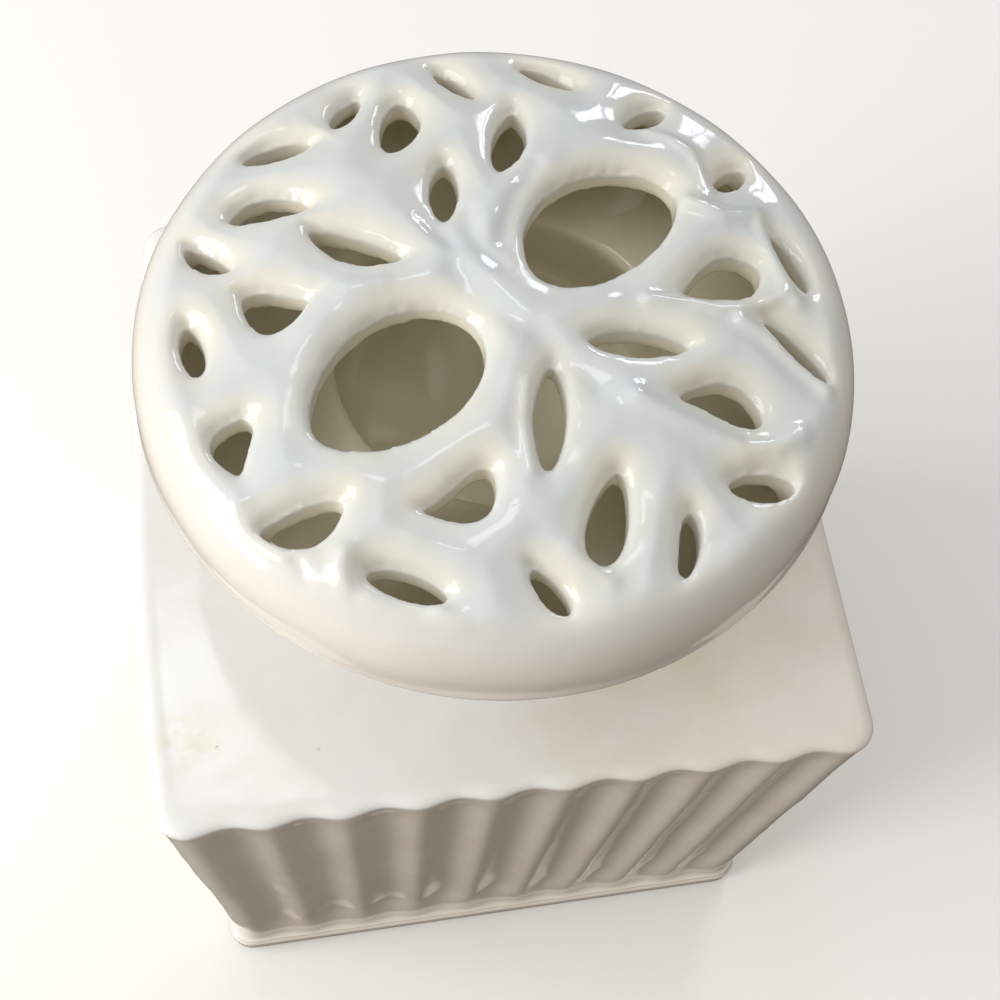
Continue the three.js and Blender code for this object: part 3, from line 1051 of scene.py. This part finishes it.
@dataclass(frozen=True)
class Lamp:
    """One studio lamp. Places and sizes are in metres."""

    name: str
    place: tuple[float, float, float]
    aim: tuple[float, float, float]
    width: float
    depth: float
    power: float
    colour: Colour

    def hang(self) -> None:
        """Adds the lamp to the scene."""
        Bench.clear()
        away = Vector(self.place) - Vector(self.aim)
        turn = away.to_track_quat("Z", "Y").to_euler()
        bpy.ops.object.light_add(type="AREA", location=self.place, rotation=turn)
        lamp = bpy.context.active_object
        lamp.name = self.name
        lamp.data.shape = "RECTANGLE"
        lamp.data.size = self.width
        lamp.data.size_y = self.depth
        lamp.data.energy = self.power
        lamp.data.color = self.colour


@dataclass
class Studio:
    """The floor, the lamps and the camera. Places are in metres, angles in degrees and the lens in mm.

    The floor shows one tone to the camera and throws a duller one back on to the canister.
    """

    sensor: float = 36.0
    lens: float = 50.4
    place: tuple[float, float, float] = (-0.0239, -0.1060, 0.3238)
    tilt: tuple[float, float, float] = (27.83, -6.57, -9.08)
    shift: tuple[float, float] = (-0.0915, -0.0468)
    clip_start: float = 0.01
    floor_size: float = 4.0
    floor_seen: Colour = tone(246, 244, 240)
    floor_cast: Colour = tone(132, 124, 116)
    sky_towards: tuple[float, float, float] = (-0.12, -0.05, 1.0)
    sky_edge: float = 0.25
    sky_dim: float = 0.29
    sky_bright: float = 0.86
    side_fade: float = 0.6
    cool_side: tuple[float, float, float] = (-0.8, 0.6, 0.1)
    cool_sky: Colour = (0.96, 1.0, 1.0)
    warm_sky: Colour = (1.0, 0.95, 0.87)
    lamps: tuple[Lamp, ...] = (
        Lamp("key_window", (-0.82, -0.05, 0.56), (0, 0, 0.10), 0.6, 0.6, 4.7, (1.0, 0.99, 0.97)),
        Lamp("low_window", (-0.85, -0.26, 0.26), (0, 0, 0.06), 0.3, 0.3, 3.2, (1.0, 0.98, 0.96)),
        Lamp("skylight", (-0.1325, 0.34, 1.20), (-0.1325, 0.34, 0), 0.135, 0.22, 0.38, (0.90, 0.95, 1.0)),
        Lamp("sky_slit", (-0.043, 0.28, 1.20), (-0.043, 0.28, 0), 0.02, 0.10, 0.05, (1.0, 1.0, 1.0)),
        Lamp("far_pane_left", (0.38, 0.78, 0.66), (0, 0, 0.15), 0.10, 0.24, 0.8, (0.82, 0.87, 1.0)),
        Lamp("far_pane_right", (0.49, 0.71, 0.66), (0, 0, 0.15), 0.10, 0.24, 0.8, (0.82, 0.87, 1.0)),
    )

    def set_camera(self) -> None:
        """Places the camera where the photograph was taken from."""
        Bench.clear()
        angles = Euler(tuple(math.radians(a) for a in self.tilt), "XYZ")
        bpy.ops.object.camera_add(location=self.place, rotation=angles)
        camera = bpy.context.active_object
        camera.data.lens = self.lens
        camera.data.sensor_width = self.sensor
        camera.data.shift_x, camera.data.shift_y = self.shift
        camera.data.clip_start = self.clip_start
        bpy.context.scene.camera = camera

    def lay_floor(self) -> None:
        """Lays the pale floor."""
        Bench.clear()
        bpy.ops.mesh.primitive_plane_add(size=self.floor_size, location=(0, 0, 0))
        floor = bpy.context.active_object
        floor.name = "studio_floor"
        graph = Graph("floor_paper")
        seen = graph.add("ShaderNodeLightPath", output="Is Camera Ray")
        colour = graph.mix(seen, self.floor_cast, self.floor_seen)
        graph.shade({"Base Color": colour, "Roughness": 0.9, "Specular IOR Level": 0.1})
        floor.data.materials.append(graph.material)

    def set_sky(self) -> None:
        """Gives the room a broad soft light, brightest overhead, cool on one side and warm on the other."""
        world = bpy.data.worlds.new("studio_world")
        world.use_nodes = True
        nodes = world.node_tree.nodes
        links = world.node_tree.links
        here = nodes.new("ShaderNodeTexCoord")

        def fade(towards: tuple[float, float, float], *limits: float) -> bpy.types.NodeSocket:
            """Maps how much a direction faces one way to a range."""
            facing = nodes.new("ShaderNodeVectorMath")
            facing.operation = "DOT_PRODUCT"
            facing.inputs[1].default_value = Vector(towards).normalized()
            spread = nodes.new("ShaderNodeMapRange")
            spread.interpolation_type = "SMOOTHSTEP"
            for index, value in enumerate(limits, start=1):
                spread.inputs[index].default_value = value
            links.new(here.outputs["Generated"], facing.inputs[0])
            links.new(facing.outputs["Value"], spread.inputs[0])
            return spread.outputs[0]

        tint = nodes.new("ShaderNodeMix")
        tint.data_type = "RGBA"
        tint.inputs[6].default_value = (*self.warm_sky, 1.0)
        tint.inputs[7].default_value = (*self.cool_sky, 1.0)
        links.new(fade(self.cool_side, -self.side_fade, self.side_fade, 0.0, 1.0), tint.inputs[0])
        links.new(tint.outputs[2], nodes["Background"].inputs["Color"])
        strength = fade(self.sky_towards, self.sky_edge, 1.0, self.sky_dim, self.sky_bright)
        links.new(strength, nodes["Background"].inputs["Strength"])
        bpy.context.scene.world = world

    def build(self) -> None:
        """Sets up everything that isn't the canister."""
        self.set_camera()
        self.lay_floor()
        self.set_sky()
        for lamp in self.lamps:
            lamp.hang()
        bpy.context.scene.view_settings.view_transform = "Standard"


def main() -> None:
    """Builds the scene in order."""
    logging.basicConfig(level=logging.INFO, format="%(message)s")
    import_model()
    studio = Studio()
    studio.build()
    jar = Jar(
        Glaze(
            "cream_glaze",
            "jar_glaze",
            thick=tone(240, 240, 238),
            thin=tone(227, 214, 200),
            edge=tone(248, 242, 232),
            inside=tone(214, 203, 170),
            clay=tone(196, 176, 142),
            dimples=0.12,
        )
    )
    lid = PiercedLid(
        Glaze(
            "white_glaze",
            "lid_glaze",
            thick=tone(208, 213, 213),
            thin=tone(232, 224, 206),
            edge=tone(238, 231, 222),
            inside=tone(226, 218, 192),
            clay=tone(196, 176, 142),
        ),
        jar,
    )
    for pottery in (jar, lid):
        piece = pottery.build()
        LOG.info("%s: %d faces", piece.name, len(piece.data.polygons))


if __name__ == "__main__":
    main()
